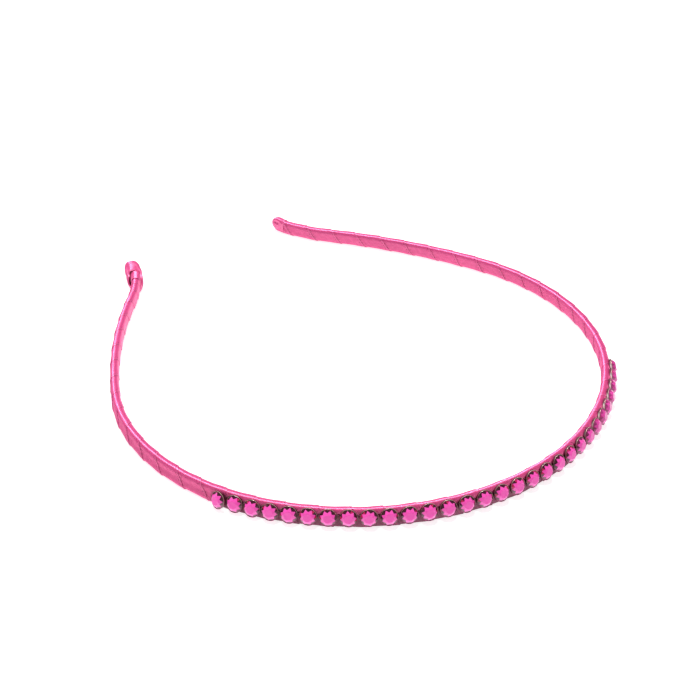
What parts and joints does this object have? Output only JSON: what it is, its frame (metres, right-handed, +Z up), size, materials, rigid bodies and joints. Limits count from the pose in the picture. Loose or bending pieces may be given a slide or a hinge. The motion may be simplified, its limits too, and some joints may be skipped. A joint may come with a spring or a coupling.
{
  "type": "rhinestone headband",
  "caption": "Narrow U-shaped headband wound in satin ribbon, with flared tips in folded ribbon caps and a row of faceted stones in metal cups round the crown.",
  "frame": {"origin": "middle of the bounding box in plan, at the height of the surface that the band lies on", "axes": "+Z up from the surface, across the band's width; +Y from the crown towards the two tips; +X towards the arm whose tip has the snug cap"},
  "size_m": [0.1352, 0.15, 0.0052],
  "materials": {
    "satin_ribbon": "hot pink satin ribbon, wound",
    "folded_ribbon": "hot pink satin ribbon, folded over the tips",
    "setting_metal": "thin pressed sheet, silver plated",
    "cut_stone": "pink glass, faceted, with a foiled back"
  },
  "bodies": {
    "root": {"wrapped_band": "satin_ribbon", "left_tip_hood": "folded_ribbon", "right_tip_cap": "folded_ribbon", "cup_chain": "setting_metal", "stone_01": "cut_stone", "stone_02": "cut_stone", "stone_03": "cut_stone", "stone_04": "cut_stone", "stone_05": "cut_stone", "stone_06": "cut_stone", "stone_07": "cut_stone", "stone_08": "cut_stone", "stone_09": "cut_stone", "stone_10": "cut_stone", "stone_11": "cut_stone", "stone_12": "cut_stone", "stone_13": "cut_stone", "stone_14": "cut_stone", "stone_15": "cut_stone", "stone_16": "cut_stone", "stone_17": "cut_stone", "stone_18": "cut_stone", "stone_19": "cut_stone", "stone_20": "cut_stone", "stone_21": "cut_stone", "stone_22": "cut_stone", "stone_23": "cut_stone", "stone_24": "cut_stone", "stone_25": "cut_stone", "stone_26": "cut_stone", "stone_27": "cut_stone", "stone_28": "cut_stone", "stone_29": "cut_stone", "stone_30": "cut_stone"}
  },
  "joints": []
}
